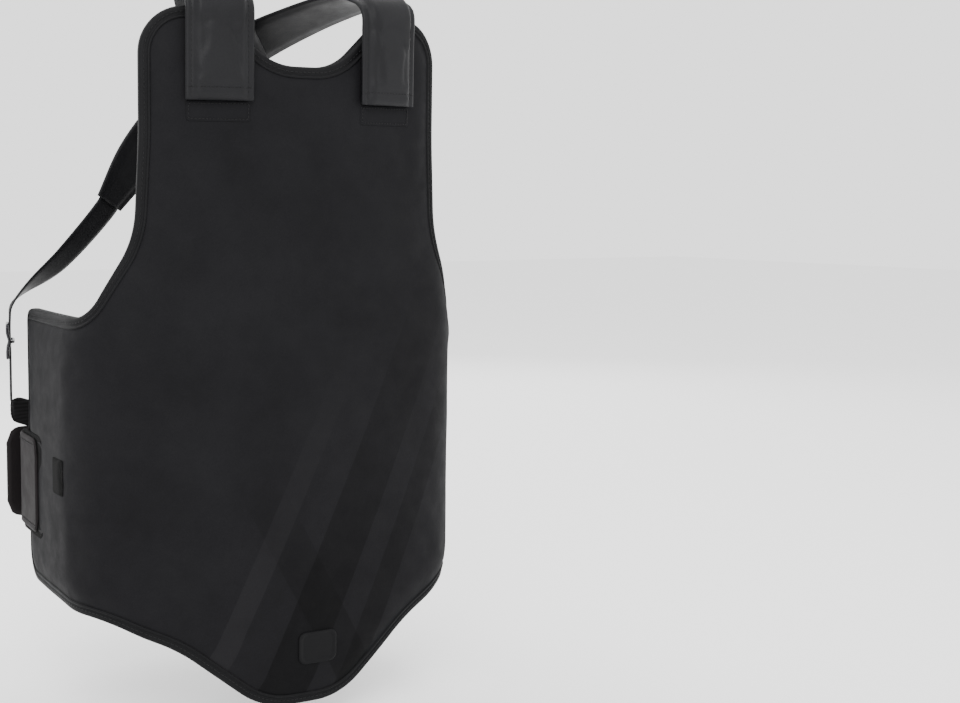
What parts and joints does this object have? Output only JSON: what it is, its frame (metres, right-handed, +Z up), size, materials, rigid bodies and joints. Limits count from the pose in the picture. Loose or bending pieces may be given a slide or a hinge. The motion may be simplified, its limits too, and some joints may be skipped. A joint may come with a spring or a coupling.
{
  "type": "body protector",
  "caption": "Padded black chest and belly protector with crossed shoulder straps, metal slide buckles and a hook-and-loop belt through a rectangular ring.",
  "frame": {"origin": "on the wearer's midline inside the torso space, at the height of the belt's middle at the ring less 21 mm (155 mm above the panel's lowest point), 116 mm behind the panel's front face", "axes": "+Z up along the wearer's spine, -Y to the front, +X to the wearer's left"},
  "size_m": [0.4059, 0.2598, 0.6375],
  "materials": {
    "leather": "matte synthetic leather, fine grain",
    "foam": "closed-cell foam",
    "lining": "matte black knit",
    "mesh_lining": "ribbed air mesh",
    "binding": "folded synthetic leather tape over piping",
    "badge": "moulded soft plastic",
    "webbing": "ribbed woven tape",
    "hook_pile": "hook tape",
    "loop_pile": "loop tape",
    "label": "woven label",
    "metal": "gloss black plated steel wire"
  },
  "bodies": {
    "root": {"front_cover": "leather", "impact_foam_centre": "foam", "impact_foam_wing_right": "foam", "impact_foam_wing_left": "foam", "comfort_foam_centre": "foam", "comfort_foam_wing_right": "foam", "comfort_foam_wing_left": "foam", "lining_centre": "lining", "lining_wing_right": "mesh_lining", "lining_wing_left": "mesh_lining", "edge_binding": "binding", "badge": "badge", "belt_under_layer": "leather", "loop_panel": "loop_pile", "belt_root_patch": "loop_pile", "belt_anchor": "leather", "belt_anchor_tab": "leather", "buckle_tab_left": "leather", "belt_backing_pad": "lining", "strap_lining_left": "mesh_lining", "strap_foam_left": "foam", "strap_cover_left": "leather", "strap_base_patch_left": "leather", "adjuster_strap_left": "leather", "anchor_webbing_left": "webbing", "strap_lining_right": "mesh_lining", "strap_foam_right": "foam", "strap_cover_right": "leather", "strap_base_patch_right": "leather", "adjuster_strap_right": "leather", "anchor_webbing_right": "webbing"},
    "ring": {"belt_ring": "metal"},
    "peeling_end": {"belt_free_end": "leather", "hook_panel": "hook_pile", "belt_label": "label"},
    "slide_left": {"slide_buckle_left": "metal"},
    "slide_right": {"slide_buckle_right": "metal"}
  },
  "joints": [
    {"name": "ring_swing", "type": "hinge", "parent": "root", "child": "ring", "pos_m": [0.118, 0.12326, -0.021], "axis": [0, 0, 1], "range_deg": [-3, 3]},
    {"name": "belt_peel", "type": "hinge", "parent": "root", "child": "peeling_end", "pos_m": [0.08, 0.132, 0], "axis": [0, 0, -1], "range_deg": [0, 90]},
    {"name": "slide_left_travel", "type": "slide", "parent": "root", "child": "slide_left", "axis": [0, 0, -1], "range_m": [0, 0.03]},
    {"name": "slide_right_travel", "type": "slide", "parent": "root", "child": "slide_right", "axis": [0, 0, -1], "range_m": [0, 0.03]}
  ]
}
